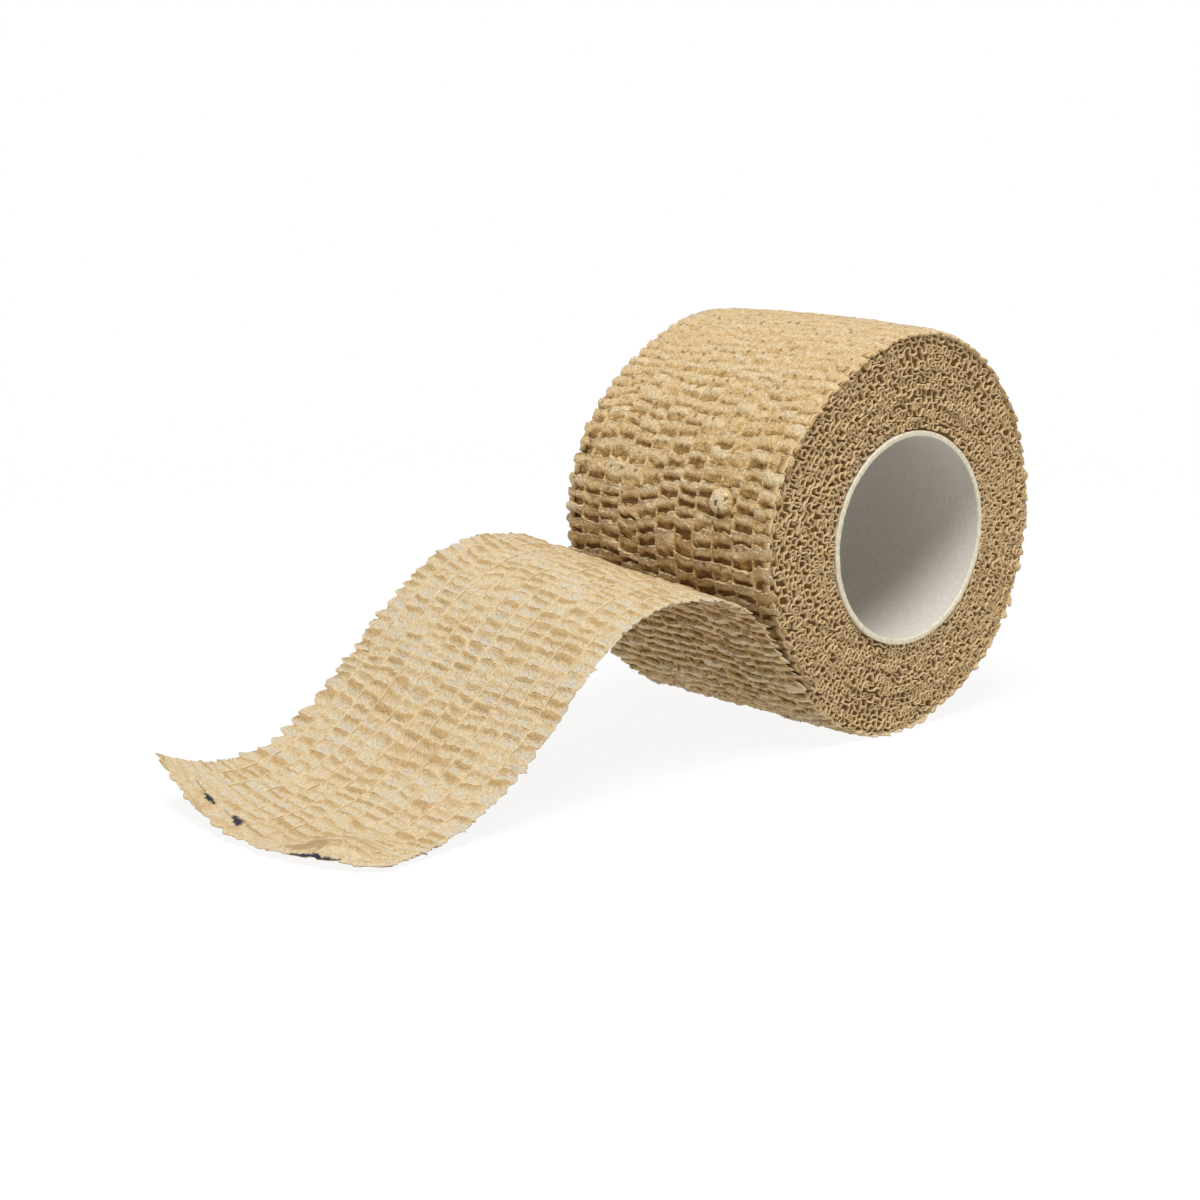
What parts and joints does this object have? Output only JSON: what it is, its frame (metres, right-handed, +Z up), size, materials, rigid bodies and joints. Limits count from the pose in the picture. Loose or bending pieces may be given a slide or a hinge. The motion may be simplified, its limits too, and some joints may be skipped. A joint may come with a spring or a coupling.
{
  "type": "cohesive bandage roll",
  "caption": "Tan crinkled self-sticking bandage wound on a white card tube, its loose end arching off one side and down to the table.",
  "frame": {"origin": "on the table, under the roll's axis, halfway across the bandage's width", "axes": "+Y along the roll's axis, +Z up, and the loose end lies towards -X"},
  "size_m": [0.117, 0.0408, 0.0531],
  "materials": {
    "crepe": "matt crinkled non-woven",
    "card": "smooth white card"
  },
  "bodies": {
    "root": {"core_tube": "card", "wound_roll": "crepe", "loose_end": "crepe"}
  },
  "joints": []
}
